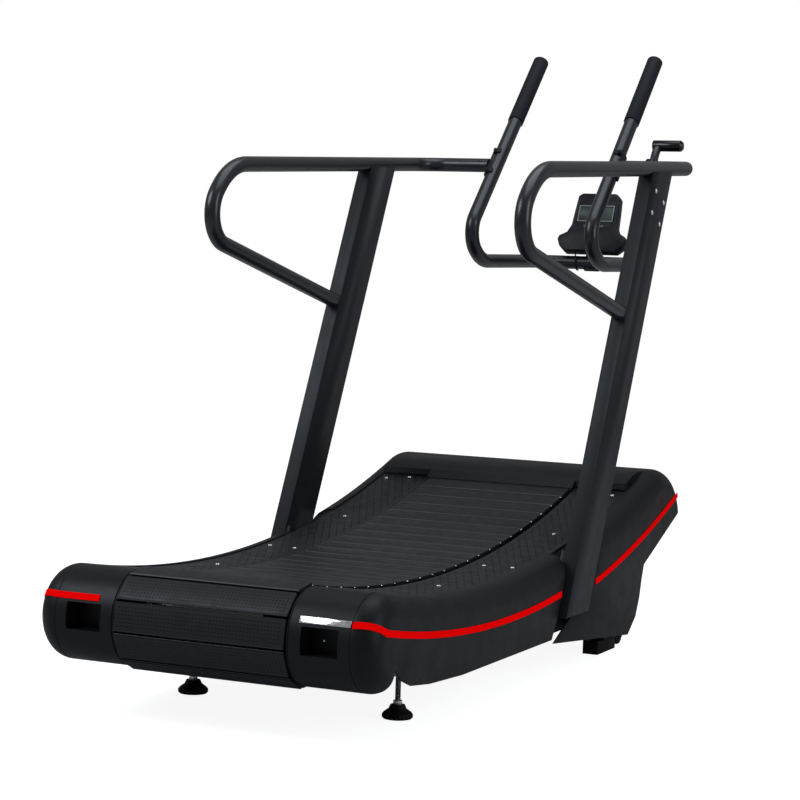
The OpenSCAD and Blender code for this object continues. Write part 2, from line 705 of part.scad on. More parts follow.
brake_y = drum_front_y - 60;
brake_z = drum_front_z - 108;
module brake_arm() {
  color("#5a5c61") difference() {
    union() {
      for (x = [262, 290]) {
        x_prism(x, x + 6, [[brake_y - 12, brake_z - 12], [brake_y + 12, brake_z - 12],
                           [brake_y + 78, brake_z + 20], [brake_y + 78, brake_z + 50],
                           [brake_y + 52, brake_z + 50], [brake_y - 12, brake_z + 12]]);
      }
      x_cyl(262, 296, brake_y, brake_z, 12);
      x_prism(262, 296, [[brake_y + 60, brake_z + 6], [brake_y + 78, brake_z + 14],
                         [brake_y + 78, brake_z + 24], [brake_y + 60, brake_z + 16]]);
    }
    x_cyl(250, 310, brake_y, brake_z, 6.05);
  }
}
module brake_magnets() {
  color("#b8babd") for (x = [268 + gap, 290 - 4 - gap])
    for (u = [56, 68])
      translate([x, brake_y + u - 4, brake_z + 30]) cube([4, 9, 18]);
}
module brake_bracket() {
  color("#1b1c1f") {
    x_cyl(plate_in + plate_t + gap, 262 - gap, brake_y, brake_z, 14);
    x_cyl(plate_in + plate_t + gap, 306, brake_y, brake_z, 6);
    translate([plate_in + plate_t + gap, brake_y - 30, brake_z - 20]) cube([6, 60, 60]);
  }
}

lever_x = 300;
lever_y = cross_y - 8;
lever_z = cross_z - 100;
lever_c = [cross_y + 40, cross_z - 20];
lever_r = norm([lever_y, lever_z] - lever_c);
lever_a1 = 360 - asin((lever_c[0] - lever_y) / lever_r);
lever_a0 = 212;
lever_end = lever_c + lever_r * [sin(lever_a0), -cos(lever_a0)];
module lever_bracket() {
  color("#17181a") difference() {
    union() {
      x_cyl(lever_x - 34, lever_x - 12, cross_y, cross_z, tube_r + 6);
      translate([lever_x - 34, cross_y - 18, lever_z]) cube([22, 26, cross_z - lever_z]);
      x_cyl(lever_x - 34, lever_x - 12, lever_y, lever_z, 16);
    }
    x_cyl(lever_x - 60, lever_x + 60, cross_y, cross_z, tube_r + 0.05);
    x_cyl(lever_x - 60, lever_x + 60, lever_y, lever_z, 5.05, 48);
  }
}
// curved lever bar that bows round the handrail's cross run
module lever_arm() {
  color("#222327") {
    x_cyl(lever_x - 36, lever_x + 12, lever_y, lever_z, 5, 48);
    x_cyl(lever_x - 12 + gap, lever_x + 12, lever_y, lever_z, 14);
    sweep_x(lever_c[0], lever_c[1], lever_a0 + 9.6, lever_a1, 180)
      translate([lever_r, lever_x]) circle(r = 11, $fn = 48);
  }
}
module lever_grip() {
  color("#0f0f10") translate([lever_x - 14, lever_end[0], lever_end[1]]) rotate([0, 90, 0]) {
    cylinder(h = 76, r = 15, $fn = fn_tube);
    translate([0, 0, 76]) cylinder(h = 6, r1 = 15, r2 = 10, $fn = fn_tube);
  }
}

// ---- feet and wheels ----

module foot(side) {
  color("#a9acb1") mirror_x(side) translate([foot_x, foot_y, 0]) {
    translate([0, 0, 22]) cylinder(h = 130, r = 6, $fn = 48);
    translate([0, 0, 30]) cylinder(h = 9, r = 11, $fn = 6);
    translate([0, 0, 92]) cylinder(h = 11, r = 11, $fn = 6);
  }
}
module foot_left() { foot(-1); }
module foot_right() { foot(1); }

module foot_pad(side) {
  color("#111112") mirror_x(side) translate([foot_x, foot_y, 0]) difference() {
    rotate_extrude($fn = 96) polygon([[0, 0], [pad_r - 3, 0], [pad_r, 3], [pad_r, 9], [pad_r - 4, 14],
                                      [20, 21], [16, 30], [0, 30]]);
    translate([0, 0, 22 - gap]) cylinder(h = 20, r = 6 + gap / 2, $fn = 48);
  }
}
module foot_pad_left() { foot_pad(-1); }
module foot_pad_right() { foot_pad(1); }

module foot_blocks() {
  color("#111112") for (side = [1, -1]) mirror_x(side) difference() {
    translate([block_x - 20, block_y - 64, 0]) cube([40, 128, 34]);
    for (s = [-1, 1]) translate([block_x, block_y + s * 44, 18]) cylinder(h = 20, r = 6, $fn = 32);
  }
}

module wheel(side) {
  color("#1a1a1b") mirror_x(side) difference() {
    union() {
      x_cyl(block_x - 11, block_x + 11, wheel_y, wheel_r, wheel_r - 2, 96);
      x_cyl(block_x - 8, block_x + 8, wheel_y, wheel_r, wheel_r - 0.5, 96);
      x_cyl(block_x - 13, block_x + 13, wheel_y, wheel_r, 9);
    }
    x_cyl(block_x - 20, block_x + 20, wheel_y, wheel_r, 5.05, 48);
  }
}
module wheel_left() { wheel(-1); }
module wheel_right() { wheel(1); }

module wheel_forks() {
  color("#1b1c1f") for (side = [1, -1]) mirror_x(side) {
    for (x = [block_x - 17, block_x + 14])
      x_prism(x, x + 3, [[wheel_y - 10, 61], [wheel_y - 9, wheel_r - 6], [wheel_y + 9, wheel_r - 6],
                         [wheel_y + 10, 61]]);
    x_cyl(block_x - 17, block_x + 17, wheel_y, wheel_r, 5, 48);
    translate([block_x - 17, wheel_y - 10, 58]) cube([34, 20, 3.8]);
  }
}

// ---- console ----

module on_console() {
  translate([0, bar_y + 6, console_z]) rotate([-console_tilt, 0, 0]) children();
}
function mirror_pts(p) = concat(p, [for (i = [len(p) - 1:-1:0]) [-p[i][0], p[i][1]]]);
lcd_w = 100;
lcd_h = 44;
lcd_z = 26;
button_z = -14;
module face_plate(w, h, z, y, t) {
  translate([-w / 2, y, z - h / 2]) cube([w, t, h]);
}
module console_body() {
  hw = console_w / 2;
  ww = console_wing_w / 2;
  hh = console_h / 2;
  color("#141517") on_console() difference() {
    translate([0, console_d, 0]) rotate([90, 0, 0]) linear_extrude(height = console_d)
      polygon(mirror_pts([[hw - 16, hh], [hw - 6, hh - 8], [hw - 2, hh - 60], [hw, -10], [hw + 10, -32],
                          [ww - 3, -44], [ww, -56], [ww - 8, 14 - hh], [ww - 24, -hh]]));
    face_plate(lcd_w + 8.4, lcd_h + 8.4, lcd_z, -1, 4);
    for (x = [-24, 0, 24]) translate([x, 0, 0]) face_plate(14, 9, button_z, -1, 7);
  }
}
module console_bezel() {
  color("#9fa4a8") on_console() difference() {
    face_plate(lcd_w + 8, lcd_h + 8, lcd_z, -0.6, 3.4);
    face_plate(lcd_w, lcd_h, lcd_z, -2, 8);
  }
}
module console_screen() {
  color("#2f3d38") on_console() face_plate(lcd_w - 2 * gap, lcd_h - 2 * gap, lcd_z, 0.8, 2);
}
module button(x) {
  color("#3b3d42") on_console() translate([x, 0, 0])
    face_plate(14 - 2 * gap, 9 - 2 * gap, button_z, -1.6, 5);
}
module button_1() { button(-24); }
module button_2() { button(0); }
module button_3() { button(24); }

module console_bracket() {
  hb = console_h / 2 + 4;
  color("#17181a") difference() {
    union() {
      x_cyl(-20, 20, bar_y, horn_low_z, tube_r + 5);
      on_console() translate([-20, console_d + gap, -hb]) cube([40, 5, hb + 20]);
      translate([-20, bar_y, horn_low_z]) cube([40, tube_r + 5, 42]);
    }
    x_cyl(-30, 30, bar_y, horn_low_z, tube_r + 0.05);
    on_console() translate([-200, -40, -200]) cube([400, 40 + console_d + gap / 2, 400]);
  }
}

// lead from the console's underside round the back of the crossbar
lead_x = -44;
lead_r = tube_r + 2.4;
module sensor_lead() {
  color("#0c0c0d") {
    rod([lead_x, bar_y - lead_r, horn_low_z], [lead_x, bar_y - lead_r, horn_low_z + 31], 2);
    sweep_x(bar_y, horn_low_z, 270, 372, 180) translate([lead_r, lead_x]) circle(r = 2, $fn = fn_tube);
  }
}

base_frame();
upright_mount_left();
upright_mount_right();
upright_left();
upright_right();
handrail_left();
handrail_right();
horn_bar();
horn_grip_left();
horn_grip_right();
horn_clamp_left();
horn_clamp_right();
upright_bolts();
side_cover_left();
side_cover_right();
front_cover_left();
front_cover_right();
nose_cover();
belly_pan();
rear_cap_left();
rear_cap_right();
cap_trim_left();
cap_trim_right();
stripe_left();
stripe_right();
step_rail_left();
step_rail_right();
rail_screws();
slats();
carrier_belts();
glide_tracks();
drum_front();
drum_rear();
flywheel();
bearing_blocks();
brake_arm();
brake_magnets();
brake_bracket();
lever_bracket();
lever_arm();
lever_grip();
foot_left();
foot_right();
foot_pad_left();
foot_pad_right();
foot_blocks();
wheel_left();
wheel_right();
wheel_forks();
console_bracket();
console_body();
console_bezel();
console_screen();
button_1();
button_2();
button_3();
sensor_lead();
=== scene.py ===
import math

import bmesh
import bpy
from mathutils import Matrix, Vector


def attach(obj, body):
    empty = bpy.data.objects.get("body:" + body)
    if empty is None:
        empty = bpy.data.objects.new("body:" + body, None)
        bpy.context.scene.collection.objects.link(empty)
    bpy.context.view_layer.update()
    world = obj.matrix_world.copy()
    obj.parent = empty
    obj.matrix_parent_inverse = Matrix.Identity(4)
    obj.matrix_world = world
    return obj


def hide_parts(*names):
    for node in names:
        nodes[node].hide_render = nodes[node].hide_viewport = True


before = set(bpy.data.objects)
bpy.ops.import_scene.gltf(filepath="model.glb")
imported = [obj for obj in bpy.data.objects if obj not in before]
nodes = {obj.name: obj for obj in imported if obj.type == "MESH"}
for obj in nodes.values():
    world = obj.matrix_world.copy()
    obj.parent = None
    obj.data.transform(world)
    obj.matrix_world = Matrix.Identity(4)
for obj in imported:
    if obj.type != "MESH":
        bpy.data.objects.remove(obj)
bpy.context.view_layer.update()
radians, sin, cos, tan, sqrt, pi = math.radians, math.sin, math.cos, math.tan, math.sqrt, math.pi


# ---------------------------------------------------------------- camera, light, floor

def camera():
    az, pitch, roll = radians(24.968), radians(4.142), radians(1.687)
    look = Vector((-sin(az) * cos(pitch), cos(az) * cos(pitch), -sin(pitch)))
    right = Vector((cos(az), sin(az), 0))
    up = right.cross(look)
    right, up = right * cos(roll) + up * sin(roll), up * cos(roll) - right * sin(roll)
    cam = bpy.data.cameras.new("camera")
    cam.sensor_width = 36
    cam.lens = 107.36
    cam.shift_y = 0.00435
    cam.clip_end = 60
    obj = bpy.data.objects.new("camera", cam)
    bpy.context.scene.collection.objects.link(obj)
    m = Matrix((right, up, -look)).transposed().to_4x4()
    m.translation = Vector((2.40084, -5.35589, 1.05431))
    obj.matrix_world = m
    bpy.context.scene.camera = obj


def area_light(name, place, target, size, power, tint=(0.86, 0.93, 1.0)):
    light = bpy.data.lights.new(name, "AREA")
    light.shape = "RECTANGLE"
    light.size, light.size_y = size
    light.energy = power
    light.color = tint
    obj = bpy.data.objects.new(name, light)
    bpy.context.scene.collection.objects.link(obj)
    obj.location = place
    obj.rotation_euler = (Vector(target) - Vector(place)).to_track_quat("-Z", "Y").to_euler()


def studio():
    world = bpy.data.worlds.new("studio")
    bpy.context.scene.world = world
    world.use_nodes = True
    back = world.node_tree.nodes["Background"]
    back.inputs["Color"].default_value = (1.0, 1.0, 1.0, 1)
    rays = world.node_tree.nodes.new("ShaderNodeLightPath").outputs["Is Camera Ray"]
    level = world.node_tree.nodes.new("ShaderNodeMapRange")
    world.node_tree.links.new(rays, level.inputs["Value"])
    level.inputs["To Min"].default_value = 0.24
    level.inputs["To Max"].default_value = 1.0
    world.node_tree.links.new(level.outputs["Result"], back.inputs["Strength"])
    bpy.context.scene.view_settings.view_transform = "Standard"
    area_light("key", (-3.2, -3.6, 4.2), (0, -0.2, 0.5), (2.6, 2.6), 130)
    area_light("top", (0.4, 0.4, 4.6), (0, 0, 0.4), (3.4, 3.4), 70)
    area_light("right", (4.6, -0.6, 2.2), (0, 0, 0.7), (1.6, 3.2), 60)


# ---------------------------------------------------------------- material nodes

class Finish:
    """One procedural material, with short calls for its nodes."""

    def __init__(self, name, rough=0.5, metal=0.0, **sockets):
        self.mat = bpy.data.materials.new(name)
        self.mat.use_nodes = True
        self.tree = self.mat.node_tree
        self.bsdf = self.tree.nodes["Principled BSDF"]
        self.bsdf.inputs["Roughness"].default_value = rough
        self.bsdf.inputs["Metallic"].default_value = metal
        for socket, value in sockets.items():
            self.bsdf.inputs[socket.replace("_", " ")].default_value = value

    def put(self, socket, value):
        if isinstance(value, bpy.types.NodeSocket):
            self.tree.links.new(value, socket)
        else:
            socket.default_value = value

    def node(self, kind, ins=(), **props):
        n = self.tree.nodes.new(kind)
        for k, v in props.items():
            setattr(n, k, v)
        for k, v in dict(ins).items():
            self.put(n.inputs[k], v)
        return n

    def place(self):
        return self.node("ShaderNodeTexCoord").outputs["Object"]

    def axes(self, vec):
        return self.node("ShaderNodeSeparateXYZ", {0: vec}).outputs

    def calc(self, op, a, b=0.0, c=0.0, clamp=False):
        n = self.node("ShaderNodeMath", {0: a, 1: b, 2: c}, operation=op)
        n.use_clamp = clamp
        return n.outputs[0]

    def noise(self, scale, detail=3.0, rough=0.55, vec=None):
        ins = {"Scale": scale, "Detail": detail, "Roughness": rough, "Vector": vec or self.place()}
        return self.node("ShaderNodeTexNoise", ins).outputs["Fac"]

    def ramp(self, value, lo, hi, out_lo=0.0, out_hi=1.0):
        ins = {"Value": value, "From Min": lo, "From Max": hi, "To Min": out_lo, "To Max": out_hi}
        return self.node("ShaderNodeMapRange", ins, interpolation_type="SMOOTHSTEP").outputs[0]

    def blend(self, fac, a, b):
        n = self.node("ShaderNodeMix", data_type="RGBA")
        self.put(n.inputs["Factor"], fac)
        colours = [s for s in n.inputs if s.type == "RGBA"]
        for s, v in zip(colours, (a, b)):
            self.put(s, v if isinstance(v, bpy.types.NodeSocket) else (*v, 1))
        return [s for s in n.outputs if s.type == "RGBA"][0]

    def bump(self, height, distance, strength=1.0, under=None):
        ins = {"Height": height, "Distance": distance, "Strength": strength}
        n = self.node("ShaderNodeBump", ins)
        if under is not None:
            self.put(n.inputs["Normal"], under)
        return n.outputs[0]

    def done(self, colour=None, rough=None, normal=None):
        if colour is not None:
            self.put(self.bsdf.inputs["Base Color"], colour)
        if rough is not None:
            self.put(self.bsdf.inputs["Roughness"], rough)
        if normal is not None:
            self.put(self.bsdf.inputs["Normal"], normal)
        return self.mat


def shade(c, k):
    return tuple(v * k for v in c)


def moulded(name, base, rough, grain=1400, depth=0.00012, cloud=7, spread=0.08, **sockets):
    """Moulded or coated surface: fine grain, slow change of colour and gloss, faint scuffs."""
    f = Finish(name, rough, **{"Specular_IOR_Level": 0.2, **sockets})
    slow = f.noise(cloud, 4)
    colour = f.blend(slow, shade(base, 1 - spread), shade(base, 1 + spread))
    scuff = f.ramp(f.noise(55, 6, 0.7), 0.62, 0.75)
    colour = f.blend(f.calc("MULTIPLY", scuff, 0.05), colour, shade(base, 1.9))
    gloss = f.ramp(f.noise(24, 4), 0.3, 0.7, rough - 0.03, rough + 0.03)
    fine = f.bump(f.noise(grain, 2), depth, 0.35)
    return f.done(colour, gloss, f.bump(f.noise(cloud * 3, 2), depth * 0.5, 0.05, fine))


def metal(name, base, rough, stretch=(1, 1, 1), scale=500, **sockets):
    """Bare or plated metal with fine tool marks along one direction."""
    f = Finish(name, rough, 1.0, **sockets)
    vec = f.node("ShaderNodeMapping", {"Vector": f.place(), "Scale": stretch}).outputs[0]
    marks = f.noise(scale, 3, 0.6, vec)
    colour = f.blend(f.noise(30, 4), shade(base, 0.82), base)
    gloss = f.ramp(marks, 0.3, 0.7, rough - 0.08, rough + 0.1)
    return f.done(colour, gloss, f.bump(marks, 0.00004, 0.4))


TREAD_TURN = radians(25)
TREAD_WIDE = 0.018
TREAD_LONG = 0.0135


def step_tread():
    """Anti-slip tread: slanted columns of short bars, each column leaning the other way."""
    f = Finish("step_tread", 0.55, Specular_IOR_Level=0.25)
    ax = f.axes(f.place())
    x, y = ax[0], ax[1]
    u = f.calc("ADD", f.calc("MULTIPLY", x, cos(TREAD_TURN)), f.calc("MULTIPLY", y, sin(TREAD_TURN)))
    v = f.calc("SUBTRACT", f.calc("MULTIPLY", y, cos(TREAD_TURN)), f.calc("MULTIPLY", x, sin(TREAD_TURN)))
    col = f.calc("DIVIDE", u, TREAD_WIDE)
    cell = f.calc("FLOOR", col)
    across = f.calc("SUBTRACT", f.calc("SUBTRACT", col, cell), 0.5)
    odd = f.calc("SUBTRACT", f.calc("MULTIPLY", f.calc("MODULO", f.calc("ABSOLUTE", cell), 2.0), 2.0), 1.0)
    slant = f.calc("MULTIPLY", f.calc("MULTIPLY", across, odd), 0.55)
    row = f.calc("ADD", f.calc("DIVIDE", v, TREAD_LONG), slant)
    row = f.calc("ADD", row, f.calc("MULTIPLY", odd, 0.25))
    along = f.calc("SUBTRACT", f.calc("FRACT", row), 0.5)
    side = f.ramp(f.calc("ABSOLUTE", across), 0.36, 0.47)
    end = f.ramp(f.calc("ABSOLUTE", along), 0.30, 0.46)
    groove = f.calc("MAXIMUM", side, end)
    wide = f.calc("ABSOLUTE", x)
    inside = f.calc("MULTIPLY", f.ramp(wide, 0.218, 0.221), f.ramp(wide, 0.332, 0.335, 1.0, 0.0))
    up = f.axes(f.node("ShaderNodeNewGeometry").outputs["True Normal"])[2]
    inside = f.calc("MULTIPLY", inside, f.ramp(up, 0.5, 0.8))
    groove = f.calc("MULTIPLY", groove, inside)
    base = (0.0145, 0.0156, 0.0200)
    colour = f.blend(f.noise(9, 4), shade(base, 0.88), shade(base, 1.15))
    # Painted shade: the grooves between the bars are blended almost to black, on top of their bump.
    colour = f.blend(groove, colour, (0.003, 0.003, 0.004))
    grain = f.bump(f.noise(1500, 2), 0.0001, 0.3)
    height = f.calc("SUBTRACT", 1.0, groove)
    gloss = f.ramp(f.noise(30, 3), 0.3, 0.7, 0.42, 0.56)
    return f.done(colour, gloss, f.bump(height, 0.0012, 0.9, grain))


DOT_PITCH = 0.0080
FOOT_X, FOOT_Y = 0.255, -0.714


def slat_face():
    """Running surface of a slat: rubber with a grid of small round dimples."""
    f = Finish("slat_face", 0.5, Specular_IOR_Level=0.25)
    uv = f.axes(f.node("ShaderNodeUVMap", uv_map="slat").outputs[0])
    du = f.calc("SUBTRACT", f.calc("FRACT", f.calc("DIVIDE", uv[0], DOT_PITCH)), 0.5)
    dv = f.calc("SUBTRACT", f.calc("FRACT", f.calc("DIVIDE", uv[1], DOT_PITCH)), 0.5)
    away = f.calc("SQRT", f.calc("ADD", f.calc("MULTIPLY", du, du), f.calc("MULTIPLY", dv, dv)))
    dot = f.ramp(away, 0.17, 0.30, 1.0, 0.0)
    dot = f.calc("MULTIPLY", dot, f.ramp(f.calc("ABSOLUTE", uv[1]), 0.0240, 0.0242, 1.0, 0.0))
    dot = f.calc("MULTIPLY", dot, f.ramp(f.calc("ABSOLUTE", uv[0]), 0.1918, 0.1922, 1.0, 0.0))
    base = (0.0150, 0.0162, 0.0205)
    colour = f.blend(f.noise(8, 4), shade(base, 0.88), shade(base, 1.14))
    rub = f.ramp(f.noise(120, 5, 0.7), 0.55, 0.8)
    colour = f.blend(f.calc("MULTIPLY", rub, 0.25), colour, shade(base, 1.6))
    # Painted shade: the dimples are blended darker than the rubber, on top of their bump.
    colour = f.blend(dot, colour, (0.0025, 0.0025, 0.003))
    grain = f.bump(f.noise(1300, 2), 0.00012, 0.35)
    gloss = f.ramp(f.noise(26, 3), 0.3, 0.7, 0.40, 0.54)
    return f.done(colour, gloss, f.bump(f.calc("SUBTRACT", 1.0, dot), 0.0009, 0.9, grain))


def threaded(name, base, centre_x, centre_y):
    """Plated stem with a screw thread, and plain nuts beyond the stem's radius."""
    f = Finish(name, 0.32, 1.0)
    ax = f.axes(f.place())
    dx = f.calc("SUBTRACT", f.calc("ABSOLUTE", ax[0]), centre_x)
    dy = f.calc("SUBTRACT", ax[1], centre_y)
    away = f.calc("SQRT", f.calc("ADD", f.calc("MULTIPLY", dx, dx), f.calc("MULTIPLY", dy, dy)))
    turn = f.calc("ARCTAN2", dy, dx)
    wave = f.calc("SINE", f.calc("ADD", f.calc("MULTIPLY", ax[2], 2 * pi / 0.0016), turn))
    wave = f.calc("MULTIPLY", wave, f.ramp(away, 0.0062, 0.0070, 1.0, 0.0))
    colour = f.blend(f.noise(60, 4), shade(base, 0.8), base)
    # Painted shade: the thread's troughs are blended darker, on top of their bump.
    colour = f.blend(f.ramp(wave, -1.0, 0.0, 0.7, 0.0), colour, shade(base, 0.25))
    gloss = f.ramp(f.noise(200, 3), 0.3, 0.7, 0.24, 0.42)
    return f.done(colour, gloss, f.bump(wave, 0.0005, 0.8))


def display():
    """Liquid crystal panel: grey-green with a faint dot raster."""
    f = Finish("display", 0.35, Specular_IOR_Level=0.2)
    base = (0.050, 0.068, 0.060)
    colour = f.blend(f.noise(14, 2), shade(base, 0.9), shade(base, 1.12))
    raster = f.node("ShaderNodeTexChecker", {"Vector": f.place(), "Scale": 900.0}).outputs["Fac"]
    colour = f.blend(f.calc("MULTIPLY", raster, 0.12), colour, shade(base, 0.7))
    return f.done(colour, f.ramp(f.noise(40, 2), 0.3, 0.7, 0.30, 0.38), f.bump(f.noise(500, 1), 0.00002, 0.2))


def make_materials():
    m = {}
    black = (0.0056, 0.0062, 0.0080)
    m["frame_paint"] = moulded("frame_paint", (0.0075, 0.008, 0.0095), 0.42, 900, 0.00015)
    m["tube_paint"] = moulded("tube_paint", (0.0105, 0.0120, 0.0165), 0.30, 1000, 0.00010,
                               Specular_IOR_Level=0.45, Coat_Weight=0.2, Coat_Roughness=0.25)
    m["upright_paint"] = moulded("upright_paint", (0.0160, 0.0175, 0.0215), 0.44, 1000, 0.00014)
    m["grip_foam"] = moulded("grip_foam", (0.0100, 0.0112, 0.0155), 0.62, 700, 0.0003)
    m["cover_plastic"] = moulded("cover_plastic", black, 0.46, 1300, 0.00014)
    m["cap_plastic"] = moulded("cap_plastic", (0.0072, 0.0080, 0.0100), 0.44, 1500, 0.00006)
    # The red trim's emission makes it glow faintly though it is no lamp: a painted glow that brightens the
    # red.
    m["trim_red_painted_glow"] = moulded("trim_red_painted_glow", (0.95, 0.0, 0.0), 0.6, 900, 0.00005, spread=0.04,
                             Specular_IOR_Level=0.0,
                             Emission_Color=(1.0, 0.004, 0.004, 1), Emission_Strength=0.16)
    # The right cap's trim is bright plated metal where the left cap's is red: it stands in for a reflection
    # of light on that trim, a painted reflection.
    m["trim_painted_reflection"] = metal("trim_painted_reflection", (0.86, 0.87, 0.88), 0.14, (1, 4, 4), 90)
    m["step_tread"] = step_tread()
    m["slat_face"] = slat_face()
    # The slats' chamfered edges are painted lighter than their faces: a painted highlight along each slat's
    # edges.
    m["slat_edge_painted_highlight"] = moulded("slat_edge_painted_highlight", (0.055, 0.057, 0.064), 0.38, 700, 0.00008)
    m["slat_body"] = moulded("slat_body", (0.006, 0.006, 0.007), 0.6, 700, 0.0002)
    m["belt_rubber"] = moulded("belt_rubber", (0.004, 0.004, 0.0045), 0.65, 700, 0.0002)
    m["glide_plastic"] = moulded("glide_plastic", (0.03, 0.03, 0.032), 0.4, 800, 0.00008, spread=0.05)
    m["turned_steel"] = metal("turned_steel", (0.46, 0.47, 0.49), 0.3, (14, 1, 1), 300)
    m["disc_metal"] = metal("disc_metal", (0.60, 0.58, 0.54), 0.28, (1, 1, 1), 700)
    m["cast_iron"] = moulded("cast_iron", (0.05, 0.05, 0.055), 0.6, 350, 0.0005)
    m["zinc"] = metal("zinc", (0.52, 0.52, 0.50), 0.36, (1, 1, 1), 260)
    m["bolt_steel"] = metal("bolt_steel", (0.80, 0.81, 0.83), 0.2, (1, 1, 1), 500)
    m["stem"] = threaded("stem_steel", (0.62, 0.62, 0.64), FOOT_X, FOOT_Y)
    m["lever_plastic"] = moulded("lever_plastic", (0.005, 0.005, 0.006), 0.2, 900, 0.00004,
                                  Coat_Weight=0.3, Coat_Roughness=0.12)
    m["foot_rubber"] = moulded("foot_rubber", (0.006, 0.006, 0.0065), 0.58, 600, 0.0003)
    m["console_plastic"] = moulded("console_plastic", (0.0080, 0.0088, 0.0125), 0.38, 1500, 0.00012)
    m["bezel"] = moulded("bezel", (0.20, 0.21, 0.225), 0.3, 1200, 0.00004, spread=0.05)
    m["display"] = display()
    m["key_rubber"] = moulded("key_rubber", (0.10, 0.105, 0.115), 0.5, 1000, 0.0001)
    m["lead_rubber"] = moulded("lead_rubber", (0.012, 0.012, 0.013), 0.5, 900, 0.0001)
    m["weld"] = moulded("weld", (0.013, 0.0135, 0.017), 0.38, 260, 0.0007)
    return m


M = make_materials()

NODE_FINISH = {
    "base_frame": "frame_paint", "upright_mount_left": "frame_paint", "upright_mount_right": "frame_paint",
    "upright_left": "upright_paint", "upright_right": "upright_paint",
    "handrail_left": "tube_paint", "handrail_right": "tube_paint", "horn_bar": "tube_paint",
    "horn_grip_left": "grip_foam", "horn_grip_right": "grip_foam",
    "horn_clamp_left": "frame_paint", "horn_clamp_right": "frame_paint",
    "upright_bolts": "bolt_steel", "rail_screws": "bolt_steel",
    "side_cover_left": "cover_plastic", "side_cover_right": "cover_plastic",
    "front_cover_left": "cover_plastic", "front_cover_right": "cover_plastic",
    "nose_cover": "cover_plastic", "belly_pan": "cover_plastic",
    "rear_cap_left": "cap_plastic", "rear_cap_right": "cap_plastic",
    "cap_trim_left": "trim_red_painted_glow", "cap_trim_right": "trim_painted_reflection",
    "stripe_left": "trim_red_painted_glow", "stripe_right": "trim_red_painted_glow",
    "step_rail_left": "step_tread", "step_rail_right": "step_tread",
    "slats": "slat_body", "carrier_belts": "belt_rubber", "glide_tracks": "glide_plastic",
    "drum_front": "turned_steel", "drum_rear": "turned_steel", "flywheel": "disc_metal",
    "bearing_blocks": "cast_iron", "brake_arm": "zinc", "brake_magnets": "bolt_steel",
    "brake_bracket": "frame_paint", "lever_bracket": "frame_paint", "lever_arm": "tube_paint",
    "lever_grip": "lever_plastic", "foot_left": "stem", "foot_right": "stem",
    "foot_pad_left": "foot_rubber", "foot_pad_right": "foot_rubber", "foot_blocks": "foot_rubber",
    "wheel_left": "foot_rubber", "wheel_right": "foot_rubber", "wheel_forks": "frame_paint",
    "console_bracket": "frame_paint", "console_body": "console_plastic", "console_bezel": "bezel",
    "console_screen": "display", "button_1": "key_rubber", "button_2": "key_rubber",
    "button_3": "key_rubber", "sensor_lead": "lead_rubber",
}

# rounding of each node's edges in millimetres; the rest get 0.6
EDGE_ROUND = {
    "upright_left": 2.5, "upright_right": 2.5, "console_body": 3.0, "horn_clamp_left": 1.5,
    "horn_clamp_right": 1.5, "side_cover_left": 1.5, "side_cover_right": 1.5, "front_cover_left": 1.5,
    "front_cover_right": 1.5, "rear_cap_left": 0.8, "rear_cap_right": 0.8, "nose_cover": 1.2,
    "step_rail_left": 1.5, "step_rail_right": 1.5, "foot_blocks": 3.0, "lever_bracket": 2.0,
    "handrail_left": 0, "handrail_right": 0, "horn_bar": 0, "carrier_belts": 0, "glide_tracks": 0,
    "sensor_lead": 0, "cap_trim_left": 0.3, "cap_trim_right": 0.3, "stripe_left": 0.3, "stripe_right": 0.3,
    "button_1": 1.0, "button_2": 1.0, "button_3": 1.0, "console_screen": 0.2,
}


def dress_nodes():
    for name, obj in nodes.items():
        obj.data.materials.clear()
        obj.data.materials.append(M[NODE_FINISH[name]])
        soft = name not in ("rear_cap_left", "rear_cap_right")
        obj.data.polygons.foreach_set("use_smooth", [soft] * len(obj.data.polygons))
        if soft:
            obj.data.set_sharp_from_angle(angle=radians(32))
        weld = obj.modifiers.new("weld", "WELD")
        weld.merge_threshold = 0.00002
        size = EDGE_ROUND.get(name, 0.6)
        if size:
            bevel = obj.modifiers.new("bevel", "BEVEL")
            bevel.width = size / 1000
            bevel.segments = 2
            bevel.limit_method = "ANGLE"
            bevel.angle_limit = radians(38)
            bevel.harden_normals = soft


# ---------------------------------------------------------------- mesh helpers

def add_piece(name, bm, body, *mats, angle=35):
    bmesh.ops.recalc_face_normals(bm, faces=bm.faces)
    me = bpy.data.meshes.new(name)
    bm.to_mesh(me)
    bm.free()
    me.polygons.foreach_set("use_smooth", [True] * len(me.polygons))
    me.set_sharp_from_angle(angle=radians(angle))
    for mat in mats:
        me.materials.append(M[mat])
    obj = bpy.data.objects.new(name, me)
    bpy.context.scene.collection.objects.link(obj)
    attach(obj, body)
    return obj


def loft(bm, rings, closed=True, caps=True, mat=0):
    """Skins rings of points one to the next and returns the rows of vertices."""
    rows = [[bm.verts.new(p) for p in ring] for ring in rings]
    n = len(rows[0])
    span = n if closed else n - 1
    for a, b in zip(rows, rows[1:]):
        for i in range(span):
            j = (i + 1) % n
            bm.faces.new((a[i], a[j], b[j], b[i])).material_index = mat
    if caps:
        bm.faces.new(rows[0][::-1]).material_index = mat
        bm.faces.new(rows[-1]).material_index = mat
    return rows


def basis(axis):
    z = Vector(axis).normalized()
    x = z.orthogonal().normalized()
    return x, z.cross(x), z


def turned(bm, place, axis, profile, segs=24, mat=0):
    """Solid of revolution: profile is [(radius, height)...] along the axis."""
    x, y, z = basis(axis)
    rings = []
    for r, h in profile:
        rings.append([Vector(place) + z * h + (x * cos(2 * pi * i / segs) + y * sin(2 * pi * i / segs)) * r
                      for i in range(segs)])
    return loft(bm, rings, mat=mat)


